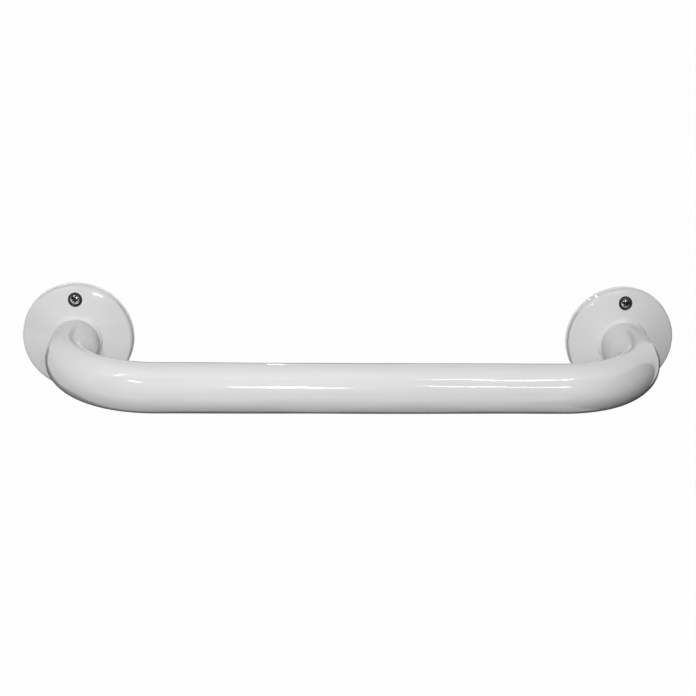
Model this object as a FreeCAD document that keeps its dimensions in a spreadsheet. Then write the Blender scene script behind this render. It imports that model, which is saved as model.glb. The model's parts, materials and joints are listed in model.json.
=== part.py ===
"""Wall-mounted safety rail: a bent tube, two domed flanges, their welds and four screws.

Frame: X runs along the rail, the wall is the plane Y = 0 and the rail stands out
towards -Y, +Z is up. The origin lies on the wall, midway between the flange centres.
Lengths are in millimetres.
"""

import FreeCAD, Part
import math
import os
import Sketcher
from FreeCAD import Placement, Rotation, Vector

# Driving dimensions, each with what it measures
SIZES = {
    "centre_distance": (381.0, "between the two flange centres, along X"),
    "standoff": (102.0, "from the wall to the centreline of the grip"),
    "tube_diameter": (31.75, "outside of the tube"),
    "tube_wall": (1.5, "thickness of the tube's wall"),
    "bend_radius": (63.5, "centreline of each bend"),
    "tube_end_gap": (1.0, "from the wall to the tube's cut ends"),
    "flange_diameter": (76.2, "outside of each flange"),
    "flange_depth": (13.2, "from the wall to the flange's face where the tube leaves it"),
    "dome_radius": (110.0, "of the sphere that the flange's face lies on"),
    "flange_sheet": (1.8, "thickness of the pressed sheet"),
    "shoulder_radius": (2.4, "rounding between the flange's face and its rim"),
    "inner_corner_radius": (0.6, "the same rounding inside the flange"),
    "bore_clearance": (0.15, "between the tube and the flange's bore, all round"),
    "weld_leg": (2.2, "each leg of a weld bead"),
    "bead_radius": (0.9, "rounding of the bead round the flange's foot"),
    "bead_reach": (0.7, "how far that bead stands out from the rim's wall"),
    "screw_circle": (57.2, "between the two screws of one flange"),
    "seat_clearance": (0.5, "between a screw's head and the wall of its seat"),
    "seat_lip": (0.3, "how far each seat is sunk at its shallowest edge"),
    "hole_clearance": (0.2, "between a screw's neck and its hole, all round"),
    "head_diameter": (8.6, "screw head"),
    "head_height": (2.7, "screw head, from its seat to the top of the dome"),
    "head_edge": (0.7, "height of the straight edge below the head's dome"),
    "neck_diameter": (5.0, "screw, straight under the head"),
    "neck_length": (2.4, "tapered stretch between the neck and the shank"),
    "shank_diameter": (4.2, "screw shank, and the crest of its thread"),
    "core_diameter": (3.0, "root of the thread"),
    "smooth_length": (12.0, "from under the head to the first thread"),
    "screw_length": (31.75, "from under the head to the tip"),
    "point_length": (4.5, "the screw's pointed end"),
    "thread_pitch": (1.8, "from one thread to the next"),
    "thread_crest": (0.2, "width of the thread's flat crest"),
    "thread_root": (1.1, "width of the thread where it leaves the core"),
    "recess_span": (4.6, "across the cross recess, from tip to tip"),
    "recess_slot": (1.15, "width of each slot of the cross recess"),
    "recess_depth": (1.9, "of the cross recess, from the top of the head"),
    "overrun": (1.0, "how far a cut runs past the face that it opens"),
}
# The radius of a weld bead's hollow face, as a share of its leg
WELD_HOLLOW_SHARE = 1.25
RECESS_TAPER = 4.0
FULL_TURN = 360.0
SIDES = {"left": -1, "right": 1}
LEVELS = {"top": 1, "bottom": -1}
OUT_OF_WALL = Rotation(Vector(1, 0, 0), 90.0)
TINY = 1e-6


class Formula:
    """A length worked out from the sheet: its value now, and the text that keeps it bound."""

    def __init__(self, text, value):
        self.text = text
        self.value = value

    def _join(self, other, sign, value):
        return Formula(f"({self.text} {sign} {as_formula(other).text})", value)

    def __add__(self, other):
        return self._join(other, "+", self.value + as_formula(other).value)

    def __sub__(self, other):
        return self._join(other, "-", self.value - as_formula(other).value)

    def __mul__(self, other):
        return self._join(other, "*", self.value * as_formula(other).value)

    def __truediv__(self, other):
        return self._join(other, "/", self.value / as_formula(other).value)

    def __neg__(self):
        return self * -1

    def root(self):
        return Formula(f"sqrt({self.text})", math.sqrt(self.value))


def as_formula(number):
    """A plain number as a Formula; a Formula stays as it is."""
    return number if isinstance(number, Formula) else Formula(str(number), number)


def make_sheet(doc):
    """The sheet of driving dimensions: a name, a value and a meaning in each row."""
    sheet = doc.addObject("Spreadsheet::Sheet", "Sizes")
    for row, (alias, (value, meaning)) in enumerate(SIZES.items(), start=1):
        sheet.set(f"A{row}", alias)
        sheet.set(f"B{row}", str(value))
        sheet.set(f"C{row}", meaning)
        sheet.setAlias(f"B{row}", alias)
    doc.recompute()
    return sheet


def size(sheet, alias):
    """The named dimension as a Formula bound to its cell."""
    return Formula(f"Sizes.{alias}", float(sheet.get(alias)))


def bind(thing, settings):
    """Bind properties of an object to formulas."""
    for name, formula in settings.items():
        thing.setExpression(name, as_formula(formula).text)


def place(thing, x, y, z, turn=OUT_OF_WALL):
    """Put an object at a bound place, with its own Z axis pointing out of the wall."""
    spot = [as_formula(each) for each in (x, y, z)]
    thing.Placement = Placement(Vector(*[each.value for each in spot]), turn)
    bind(thing, {f"Placement.Base.{axis}": each for axis, each in zip("xyz", spot)})


def new_body(doc, name):
    body = doc.addObject("PartDesign::Body", name)
    body.Label = name
    return body


def new_sketch(body, name, plane_role, lift=None):
    """A sketch on one of the body's own origin planes, lifted along the plane's normal."""
    sketch = body.newObject("Sketcher::SketchObject", name)
    plane = next(each for each in body.Origin.OriginFeatures if each.Role == plane_role)
    sketch.AttachmentSupport = (plane, [""])
    sketch.MapMode = "FlatFace"
    if lift is not None:
        bind(sketch, {"AttachmentOffset.Base.z": lift})
    return sketch


def pin_point(sketch, edge, end, corner):
    """Hold one end of an edge at a corner given by two formulas."""
    axes = (("DistanceX", -2), ("DistanceY", -1))
    for coordinate, (kind, axis) in zip(corner, axes):
        formula = as_formula(coordinate)
        if abs(formula.value) < TINY:
            sketch.addConstraint(Sketcher.Constraint("PointOnObject", edge, end, axis))
            continue
        rule = Sketcher.Constraint(kind, -1, 1, edge, end, formula.value)
        sketch.setExpression(f"Constraints[{sketch.addConstraint(rule)}]", formula.text)


def arc_between(start, end, radius, side):
    """The short arc from start to end whose centre lies to the left (1) or right (-1)."""
    chord = end - start
    reach = math.sqrt(radius**2 - (chord.Length / 2) ** 2)
    across = Vector(-chord.y, chord.x, 0).normalize() * side
    centre = (start + end) / 2 + across * reach
    ends = [math.atan2(point.y - centre.y, point.x - centre.x) for point in (start, end)]
    first, last = ends if side > 0 else reversed(ends)
    return Part.ArcOfCircle(Part.Circle(centre, Vector(0, 0, 1), radius), first, last)


def draw_outline(sketch, corners, bends=None, closed=True):
    """Join corners by straight edges, or by the arcs that bends gives.

    bends maps an edge's number to its radius and the side of its centre.
    """
    bends = bends or {}
    count = len(corners) if closed else len(corners) - 1
    points = [Vector(*[as_formula(each).value for each in corner], 0) for corner in corners]
    for number in range(count):
        start, end = points[number], points[(number + 1) % len(points)]
        if number not in bends:
            edge = sketch.addGeometry(Part.LineSegment(start, end), False)
            pin_point(sketch, edge, 1, corners[number])
            continue
        radius, side = bends[number]
        edge = sketch.addGeometry(arc_between(start, end, radius.value, side), False)
        pin_point(sketch, edge, 1 if side > 0 else 2, corners[number])
        rule = Sketcher.Constraint("Radius", edge, radius.value)
        sketch.setExpression(f"Constraints[{sketch.addConstraint(rule)}]", radius.text)
    for number in range(count if closed else count - 1):
        following = (number + 1) % count
        tail = 1 if number in bends and bends[number][1] < 0 else 2
        head = 2 if following in bends and bends[following][1] < 0 else 1
        sketch.addConstraint(Sketcher.Constraint("Coincident", number, tail, following, head))
    if not closed:
        pin_point(sketch, count - 1, 2, corners[-1])


def draw_circle(sketch, centre_x, radius):
    """A circle on the sketch's horizontal axis."""
    spot = Vector(centre_x.value, 0, 0)
    edge = sketch.addGeometry(Part.Circle(spot, Vector(0, 0, 1), radius.value), False)
    pin_point(sketch, edge, 3, (centre_x, 0))
    rule = Sketcher.Constraint("Radius", edge, radius.value)
    sketch.setExpression(f"Constraints[{sketch.addConstraint(rule)}]", radius.text)


def revolve(body, name, corners, bends=None):
    """Turn a closed outline, drawn as radius and height, once around the body's Z axis."""
    sketch = new_sketch(body, f"{name}_outline", "XZ_Plane")
    draw_outline(sketch, corners, bends)
    turned = body.newObject("PartDesign::Revolution", name)
    turned.Profile = sketch
    turned.ReferenceAxis = (sketch, ["V_Axis"])
    turned.Angle = FULL_TURN
    body.Document.recompute()
    return turned


def round_rim(body, base, wall_radius, rounding):
    """Round the highest circular edge of the given radius."""
    names = {
        edge.Curve.Center.z: f"Edge{number}"
        for number, edge in enumerate(base.Shape.Edges, start=1)
        if isinstance(edge.Curve, Part.Circle) and abs(edge.Curve.Radius - wall_radius.value) < TINY
    }
    rounded = body.newObject("PartDesign::Fillet", f"{body.Name}_rounding")
    rounded.Base = (base, [names[max(names)]])
    bind(rounded, {"Radius": rounding})
    body.Document.recompute()


class FlangeForm:
    """Heights and radii that the flange shares with its welds and screws."""

    def __init__(self, sheet):
        self.tube_radius = size(sheet, "tube_diameter") / 2
        self.bore_radius = self.tube_radius + size(sheet, "bore_clearance")
        self.rim_radius = size(sheet, "flange_diameter") / 2
        self.wall_radius = self.rim_radius - size(sheet, "bead_reach")
        self.thickness = size(sheet, "flange_sheet")
        self.dome_radius = size(sheet, "dome_radius")
        rise = (self.dome_radius * self.dome_radius - self.tube_radius * self.tube_radius).root()
        self.dome_centre = size(sheet, "flange_depth") - rise
        self.screw_reach = size(sheet, "screw_circle") / 2
        self.seat_radius = size(sheet, "head_diameter") / 2 + size(sheet, "seat_clearance")
        seat_edge = self.face_height(self.screw_reach + self.seat_radius)
        self.seat_height = seat_edge - size(sheet, "seat_lip")

    def face_height(self, radius, depth=0):
        """Height of the domed face above the wall, or of a face that lies deeper in the sheet."""
        sphere = self.dome_radius - depth
        return self.dome_centre + (sphere * sphere - radius * radius).root()


def make_tube(doc, sheet):
    """The rail: one tube with a leg, a bend, the grip, a bend and a leg."""
    body = new_body(doc, "rail_tube")
    half = size(sheet, "centre_distance") / 2
    reach = size(sheet, "standoff")
    bend = size(sheet, "bend_radius")
    outer = size(sheet, "tube_diameter") / 2
    end_gap = size(sheet, "tube_end_gap")
    path = new_sketch(body, "rail_centreline", "XY_Plane")
    corners = [
        (-half, -end_gap),
        (-half, bend - reach),
        (bend - half, -reach),
        (half - bend, -reach),
        (half, bend - reach),
        (half, -end_gap),
    ]
    draw_outline(path, corners, {1: (bend, 1), 3: (bend, 1)}, closed=False)
    section = new_sketch(body, "rail_section", "XZ_Plane", lift=end_gap)
    draw_circle(section, -half, outer)
    draw_circle(section, -half, outer - size(sheet, "tube_wall"))
    doc.recompute()
    pipe = body.newObject("PartDesign::AdditivePipe", "rail_pipe")
    pipe.Profile = section
    pipe.Spine = (path, [f"Edge{number + 1}" for number in range(len(corners) - 1)])
    doc.recompute()
    return body


def make_flange(doc, sheet, form, side, sign):
    """A pressed cup: domed face, rim with a bead round its foot, bore and sunk screw seats."""
    overrun = size(sheet, "overrun")
    label = f"flange_{side}"
    bore = form.bore_radius

    envelope = new_body(doc, f"{label}_envelope")
    wall = form.wall_radius
    bead = size(sheet, "bead_radius")
    inset = bead - size(sheet, "bead_reach")
    corners = [
        (bore, 0),
        (form.rim_radius - bead, 0),
        (wall, bead + (bead * bead - inset * inset).root()),
        (wall, form.face_height(wall)),
        (bore, form.face_height(bore)),
    ]
    dome = revolve(envelope, f"{label}_dome", corners, {1: (bead, 1), 3: (form.dome_radius, 1)})
    round_rim(envelope, dome, wall, size(sheet, "shoulder_radius"))

    cavity = new_body(doc, f"{label}_cavity")
    inside = wall - form.thickness
    mouth = bore - overrun
    corners = [
        (mouth, -overrun),
        (inside, -overrun),
        (inside, form.face_height(inside, form.thickness)),
        (mouth, form.face_height(mouth, form.thickness)),
    ]
    hollow = revolve(cavity, f"{label}_hollow", corners, {2: (form.dome_radius - form.thickness, 1)})
    round_rim(cavity, hollow, inside, size(sheet, "inner_corner_radius"))

    def upright(name, radius, foot, height):
        """A cylinder at each screw of this flange."""
        posts = []
        for level, up in LEVELS.items():
            post = doc.addObject("Part::Cylinder", f"{label}_{name}_{level}")
            bind(post, {"Radius": radius, "Height": height})
            place(post, 0, form.screw_reach * up, foot, turn=Rotation())
            posts.append(post)
        return posts

    depth = size(sheet, "flange_depth")
    seat_foot = form.seat_height - form.thickness
    neck = size(sheet, "neck_diameter") / 2 + size(sheet, "hole_clearance")
    cups = doc.addObject("Part::MultiFuse", f"{label}_cups")
    cup = inside - form.screw_reach + overrun
    cups.Shapes = upright("cup", cup, seat_foot, depth)
    hollow_round_cups = doc.addObject("Part::Cut", f"{label}_hollow_round_cups")
    hollow_round_cups.Base = cavity
    hollow_round_cups.Tool = cups
    removed = doc.addObject("Part::MultiFuse", f"{label}_removed")
    seats = upright("seat", form.seat_radius, form.seat_height, depth)
    holes = upright("hole", neck, seat_foot - overrun, depth)
    removed.Shapes = [hollow_round_cups, *seats, *holes]
    flange = doc.addObject("Part::Cut", label)
    flange.Base = envelope
    flange.Tool = removed
    flange.Label = label
    place(flange, size(sheet, "centre_distance") / 2 * sign, 0, 0)
    return flange


def make_weld(doc, sheet, form, side, sign, face):
    """A ring of weld in the corner between the tube and the front or the back of the sheet."""
    body = new_body(doc, f"weld_{face}_{side}")
    leg = size(sheet, "weld_leg")
    inner = form.tube_radius
    outer = inner + leg
    if face == "front":
        foot = form.face_height(inner)
        corners = [(inner, foot), (outer, form.face_height(outer)), (inner, foot + leg)]
    else:
        foot = form.face_height(inner, form.thickness)
        toe = form.face_height(outer, form.thickness)
        corners = [(inner, foot), (inner, foot - leg), (outer, toe)]
    hollowing = {1: (leg * WELD_HOLLOW_SHARE, -1)}
    revolve(body, f"weld_bead_{face}_{side}", corners, hollowing)
    place(body, size(sheet, "centre_distance") / 2 * sign, 0, 0)
    return body


def cross_corners(arm, slot):
    """The twelve corners of a cross, anticlockwise, from its half span and half slot width."""
    corners = [(arm, -slot), (arm, slot), (slot, slot)]
    quarter = list(corners)
    for _ in range(3):
        quarter = [(-y, x) for x, y in quarter]
        corners.extend(quarter)
    return corners


def make_screw(doc, sheet, form, side, sign, level, up):
    """A domed, cross-recessed screw: tapered neck, smooth shank, thread and point."""
    name = f"screw_{side}_{level}"
    body = new_body(doc, name)
    head = size(sheet, "head_diameter") / 2
    top = size(sheet, "head_height")
    edge = size(sheet, "head_edge")
    neck = size(sheet, "neck_diameter") / 2
    shank = size(sheet, "shank_diameter") / 2
    core = size(sheet, "core_diameter") / 2
    smooth = size(sheet, "smooth_length")
    length = size(sheet, "screw_length")
    thread_end = length - size(sheet, "point_length")
    crown = top - edge
    corners = [
        (0, top),
        (0, -length),
        (core, -thread_end),
        (core, -smooth),
        (shank, -smooth),
        (shank, -size(sheet, "neck_length")),
        (neck, 0),
        (head, 0),
        (head, edge),
    ]
    head_dome = (head * head + crown * crown) / (crown * 2)
    blank = revolve(body, f"{name}_blank", corners, {8: (head_dome, 1)})

    crest = size(sheet, "thread_crest") / 2
    root = size(sheet, "thread_root") / 2
    inside = core - crest
    start = root - thread_end
    outline = new_sketch(body, f"{name}_thread_outline", "XZ_Plane")
    tooth = [
        (inside, start - root),
        (core, start - root),
        (shank, start - crest),
        (shank, start + crest),
        (core, start + root),
        (inside, start + root),
    ]
    draw_outline(outline, tooth)
    thread = body.newObject("PartDesign::AdditiveHelix", f"{name}_thread")
    thread.Profile = outline
    thread.ReferenceAxis = (outline, ["V_Axis"])
    thread.Mode = "pitch-height-angle"
    bind(thread, {"Pitch": size(sheet, "thread_pitch"), "Height": thread_end - smooth - root * 2})
    doc.recompute()

    recess_outline = new_sketch(body, f"{name}_recess_outline", "XY_Plane", lift=top)
    arm = size(sheet, "recess_span") / 2
    slot = size(sheet, "recess_slot") / 2
    draw_outline(recess_outline, cross_corners(arm, slot))
    recess = body.newObject("PartDesign::Pocket", f"{name}_recess")
    recess.Profile = recess_outline
    recess.TaperAngle = -RECESS_TAPER
    bind(recess, {"Length": size(sheet, "recess_depth")})
    doc.recompute()
    if recess.Shape.Volume >= thread.Shape.Volume or thread.Shape.Volume <= blank.Shape.Volume:
        raise RuntimeError(f"{name}: the recess or the thread changed nothing")
    place(
        body,
        size(sheet, "centre_distance") / 2 * sign,
        -form.seat_height,
        form.screw_reach * up,
    )
    return body


def report_tube(sheet, tube):
    """Print the tube's volume beside its section times its centreline."""
    outer = sheet.tube_diameter / 2
    area = math.pi * (outer**2 - (outer - sheet.tube_wall) ** 2)
    legs = 2 * (sheet.standoff - sheet.bend_radius - sheet.tube_end_gap)
    grip = sheet.centre_distance - 2 * sheet.bend_radius
    length = legs + grip + math.pi * sheet.bend_radius
    print(f"tube: {length:.1f} mm long, {tube.Shape.Volume:.0f} mm3, expected {area * length:.0f} mm3")


def check_and_export(doc, pieces):
    """Refuse a failed feature or a bad shape, then write one file for each piece."""
    failed = [each.Name for each in doc.Objects if {"Invalid", "Error"} & set(each.State)]
    if failed:
        raise RuntimeError(f"failed features: {failed}")
    for piece in pieces:
        shape = piece.Shape
        if shape.isNull() or not shape.isValid() or len(shape.Solids) != 1:
            raise RuntimeError(f"{piece.Label}: the shape isn't one valid solid")
    os.makedirs("parts", exist_ok=True)
    for piece in pieces:
        piece.Shape.exportStep(f"parts/{piece.Label}.step")
        print(f"{piece.Label}: {piece.Shape.Volume:.1f} mm3")


def main():
    doc = FreeCAD.newDocument("safety_rail")
    sheet = make_sheet(doc)
    form = FlangeForm(sheet)
    tube = make_tube(doc, sheet)
    pieces = [tube]
    for side, sign in SIDES.items():
        pieces.append(make_flange(doc, sheet, form, side, sign))
        for face in ("front", "back"):
            pieces.append(make_weld(doc, sheet, form, side, sign, face))
        for level, up in LEVELS.items():
            pieces.append(make_screw(doc, sheet, form, side, sign, level, up))
    doc.recompute()
    report_tube(sheet, tube)
    check_and_export(doc, pieces)


main()
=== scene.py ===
"""A wall-mounted bath safety rail: a bent white enamelled tube, two domed flanges, welds and screws."""

import json
import logging
import math
from collections.abc import Callable, Iterable, Sequence
from dataclasses import dataclass
from enum import Enum

import bmesh
import bpy
import numpy as np
from mathutils import Matrix, Vector, geometry


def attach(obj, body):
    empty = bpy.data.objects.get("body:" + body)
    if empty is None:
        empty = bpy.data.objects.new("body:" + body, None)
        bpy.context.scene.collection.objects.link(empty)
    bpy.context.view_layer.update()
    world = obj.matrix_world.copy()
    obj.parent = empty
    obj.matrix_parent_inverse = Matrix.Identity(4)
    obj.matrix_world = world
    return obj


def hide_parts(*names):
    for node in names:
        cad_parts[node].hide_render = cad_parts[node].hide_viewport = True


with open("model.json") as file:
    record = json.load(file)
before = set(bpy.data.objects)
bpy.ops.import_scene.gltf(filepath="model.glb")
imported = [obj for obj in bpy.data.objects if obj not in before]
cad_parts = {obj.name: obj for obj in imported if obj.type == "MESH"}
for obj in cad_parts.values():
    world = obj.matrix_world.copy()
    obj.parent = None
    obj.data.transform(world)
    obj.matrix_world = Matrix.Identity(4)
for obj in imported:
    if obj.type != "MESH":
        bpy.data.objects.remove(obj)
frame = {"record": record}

LOG = logging.getLogger("rail")
MILLIMETRE = 0.001
# Points nearer than this, in millimetres, are one point where two parts of a mesh meet
WELD_GAP = 0.0008
# Edges that bend more than this are shaded as sharp
CREASE = math.radians(38.0)
# Keeps a division clear of zero where an outline runs level
TINY = 1e-30

Socket = bpy.types.NodeSocket
Pair = tuple[float, float]
Place = tuple[float, float, float]
Colour = tuple[float, float, float]
Profile = list[Pair]
# The height, length, count around and start angle of a wave along a tube
Wave = tuple[float, float, int, float]
# The height, count around and start angle of a ripple round a ring
Ripple = tuple[float, int, float]


class Side(Enum):
    """The two ends of the rail, and the sign of their X."""

    LEFT = -1
    RIGHT = 1


class Level(Enum):
    """The two screws of a flange, and the sign of their Z."""

    TOP = 1
    BOTTOM = -1


class Face(Enum):
    """The two faces of a flange's sheet."""

    FRONT = "front"
    BACK = "back"


class Seen(Enum):
    """Which rays meet a lamp of the studio."""

    LIGHT = "gives light only"
    SHINE = "gives light and shows in gloss"
    GLOSS = "shows in gloss only"


# Node trees


class Value:
    """A number that a node gives, on which arithmetic adds Math nodes."""

    def __init__(self, board: "Board", socket: Socket) -> None:
        """Wrap one output socket."""
        self.board = board
        self.socket = socket

    def __add__(self, other: "Number") -> "Value":
        """Sum."""
        return self.board.math("ADD", self, other)

    def __radd__(self, other: "Number") -> "Value":
        """Sum, with the number first."""
        return self.board.math("ADD", other, self)

    def __sub__(self, other: "Number") -> "Value":
        """Difference."""
        return self.board.math("SUBTRACT", self, other)

    def __rsub__(self, other: "Number") -> "Value":
        """Difference, with the number first."""
        return self.board.math("SUBTRACT", other, self)

    def __mul__(self, other: "Number") -> "Value":
        """Product."""
        return self.board.math("MULTIPLY", self, other)

    def __rmul__(self, other: "Number") -> "Value":
        """Product, with the number first."""
        return self.board.math("MULTIPLY", other, self)

    def above(self, other: "Number") -> "Value":
        """The larger of the two."""
        return self.board.math("MAXIMUM", self, other)

    def rise(self, start: float, end: float) -> "Value":
        """A smooth step.

        Args:
            start: where the result is still 0.
            end: where the result has reached 1. It may lie below start.

        Returns:
            The step's value, from 0 to 1.
        """
        low, high = min(start, end), max(start, end)
        step = self.board.node(
            "ShaderNodeMapRange",
            {"interpolation_type": "SMOOTHSTEP"},
            {"Value": self, "From Min": low, "From Max": high},
        )
        result = Value(self.board, step.outputs["Result"])
        return result if start < end else 1 - result


Number = Value | float
Feed = Value | Socket | float | Sequence[float]


class Board:
    """A node tree that is being laid out."""

    def __init__(self, tree: bpy.types.NodeTree) -> None:
        """Take over a tree and empty it."""
        self.tree = tree
        tree.nodes.clear()

    def node(
        self, kind: str, settings: dict[str, object] | None = None, feeds: dict[str, Feed] | None = None
    ) -> bpy.types.Node:
        """Add a node.

        Args:
            kind: the node's type.
            settings: its properties, which are set first.
            feeds: a value or a link for each socket, by the socket's identifier or name.

        Returns:
            The node.
        """
        node = self.tree.nodes.new(kind)
        for name, setting in (settings or {}).items():
            setattr(node, name, setting)
        sockets = {socket.identifier: socket for socket in node.inputs}
        for name, feed in (feeds or {}).items():
            socket = sockets[name] if name in sockets else node.inputs[name]
            source = feed.socket if isinstance(feed, Value) else feed
            if isinstance(source, Socket):
                self.tree.links.new(source, socket)
            else:
                socket.default_value = source
        return node

    def math(self, operation: str, first: Number, second: Number) -> Value:
        """Add a Math node and give its result."""
        node = self.node("ShaderNodeMath", {"operation": operation}, {"Value": first, "Value_001": second})
        return Value(self, node.outputs["Value"])

    def blend(self, first: Feed, second: Feed, share: Number) -> Socket:
        """Mix two colours.

        Args:
            first: the colour where share is 0.
            second: the colour where share is 1.
            share: how much of the second shows.

        Returns:
            The colour's socket.
        """
        feeds = {"Factor_Float": share, "A_Color": opaque(first), "B_Color": opaque(second)}
        node = self.node("ShaderNodeMix", {"data_type": "RGBA"}, feeds)
        return next(socket for socket in node.outputs if socket.identifier == "Result_Color")

    def scaled(self, vector: Socket, scale: Sequence[float]) -> Socket:
        """Stretch a vector by a factor on each axis."""
        feeds = {"Vector": vector, "Vector_001": tuple(scale)}
        return self.node("ShaderNodeVectorMath", {"operation": "MULTIPLY"}, feeds).outputs["Vector"]

    def noise(self, place: Socket, grain: float, detail: float = 2.0, roughness: float = 0.5) -> Value:
        """Soft noise.

        Args:
            place: the point, in millimetres.
            grain: the size of one patch, in millimetres.
            detail: how many finer layers it has.
            roughness: how strong they are.

        Returns:
            A value round 0.5.
        """
        feeds = {"Vector": place, "Scale": 1 / grain, "Detail": detail, "Roughness": roughness}
        return Value(self, self.node("ShaderNodeTexNoise", {}, feeds).outputs["Fac"])

    def specks(self, place: Socket, spacing: float, radius: float) -> Value:
        """Small round marks.

        Args:
            place: the point, in millimetres.
            spacing: the usual distance from one mark to the next, in millimetres.
            radius: the marks' radius, in millimetres.

        Returns:
            1 in the middle of a mark and 0 outside it.
        """
        feeds = {"Vector": place, "Scale": 1 / spacing, "Randomness": 1.0}
        cells = self.node("ShaderNodeTexVoronoi", {"feature": "F1"}, feeds)
        return Value(self, cells.outputs["Distance"]).rise(radius / spacing, 0.0)

    def own_place(self) -> Socket:
        """The surface point in the frame, in millimetres."""
        point = self.node("ShaderNodeTexCoord").outputs["Object"]
        return self.scaled(point, (1 / MILLIMETRE,) * 3)

    def marked(self, name: str, output: str = "Fac") -> Socket:
        """What the mesh stores on its points under a name."""
        return self.node("ShaderNodeAttribute", {"attribute_name": name}).outputs[output]

    def backdrop_rays(self) -> Value:
        """1 for the rays that show the backdrop: the camera's, a reflection's and a transmission's."""
        rays = self.node("ShaderNodeLightPath").outputs
        names = "Is Camera Ray", "Is Glossy Ray", "Is Transmission Ray"
        camera, glossy, through = (Value(self, rays[name]) for name in names)
        return camera.above(glossy).above(through)

    def shine(self, feeds: dict[str, Feed], height: Value, depth: float) -> None:
        """End the tree in a Principled shader.

        Args:
            feeds: the shader's sockets.
            height: the relief that its bump follows.
            depth: the height of that relief from 0 to 1, in metres.
        """
        bump = self.node("ShaderNodeBump", {}, {"Height": height, "Distance": depth, "Strength": 1.0})
        shader = self.node("ShaderNodeBsdfPrincipled", {}, {**feeds, "Normal": bump.outputs["Normal"]})
        self.node("ShaderNodeOutputMaterial", {}, {"Surface": shader.outputs["BSDF"]})

    def whiten(self, output: str, plain: Socket, white: Socket, share: Number) -> None:
        """End the tree in a shader that gives way to a white one.

        Args:
            output: the type of the tree's last node.
            plain: the shader where share is 0.
            white: the shader where share is 1.
            share: how much of the white one shows.
        """
        mixed = self.node("ShaderNodeMixShader", {}, {"Fac": share, "Shader": plain, "Shader_001": white})
        self.node(output, {}, {"Surface": mixed.outputs["Shader"]})


def opaque(colour: Feed) -> Feed:
    """A colour's three numbers with alpha, or a link as it is."""
    return (*colour, 1.0) if isinstance(colour, tuple) and len(colour) == 3 else colour


def new_finish(name: str) -> tuple[bpy.types.Material, Board]:
    """A new material and the board of its node tree."""
    finish = bpy.data.materials.new(name)
    finish.use_nodes = True
    return finish, Board(finish.node_tree)


# Finishes


@dataclass(frozen=True)
class Enamel:
    """Glossy white stoved enamel over steel, a little uneven, bare inside the tube and in the seats, where
    near-black steel paints shade.
    """

    white: Colour = (0.786, 0.788, 0.787)
    pooled: Colour = (0.746, 0.75, 0.747)
    dusty: Colour = (0.62, 0.60, 0.56)
    worn: Colour = (0.42, 0.41, 0.39)
    # Bare steel darkened to near black: the real bare metal, with painted shade in the seats and inside the
    # tube
    shaded_bare_steel: Colour = (0.09, 0.086, 0.08)
    rusty: Colour = (0.23, 0.15, 0.10)
    gloss: float = 0.06
    smudge: float = 0.03
    index: float = 1.52
    cloud_grain: float = 46.0
    film_grain: float = 9.0
    peel_grain: float = 2.6
    fine_grain: float = 0.8
    dust_spacing: float = 17.0
    dust_radius: float = 0.16
    peel_depth: float = 5.0e-6

    def material(self) -> bpy.types.Material:
        """Lay out the enamel's nodes."""
        finish, board = new_finish("white_enamel")
        place = board.own_place()
        clouds = board.noise(place, self.cloud_grain, 3.0)
        film = board.noise(place, self.film_grain, 4.0, 0.6)
        peel = board.noise(place, self.peel_grain, 1.5)
        fine = board.noise(place, self.fine_grain)
        dust = board.specks(place, self.dust_spacing, self.dust_radius)
        # The wear mark holds real wear and, in the seats, painted shade
        wear = Value(board, board.marked("wear"))
        bare = Value(board, board.marked("bare"))
        # Chips follow real wear, and in the seats also the painted shade that darkens them towards the worn
        # colour
        chips_and_shade = (wear + 0.7 * film - 0.35).rise(0.55, 0.8)

        colour = board.blend(self.white, self.pooled, clouds.rise(0.42, 0.72) * 0.6 + wear * 0.3)
        colour = board.blend(colour, self.dusty, dust * 0.25)
        colour = board.blend(colour, self.worn, chips_and_shade * 0.55)
        # Bare places show the near-black steel, which paints shade into the seats and the tube's bore
        shaded_steel_and_rust = board.blend(self.shaded_bare_steel, self.rusty, film.rise(0.5, 0.72) * 0.5)
        colour = board.blend(colour, shaded_steel_and_rust, bare)
        feeds = {
            "Base Color": colour,
            "Roughness": self.gloss + self.smudge * film.rise(0.35, 0.75) + chips_and_shade * 0.25 + bare * 0.3,
            "Metallic": bare * 0.85,
            "IOR": self.index,
        }
        board.shine(feeds, peel + 0.16 * fine + 0.5 * dust - 1.5 * chips_and_shade, self.peel_depth)
        return finish


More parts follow.
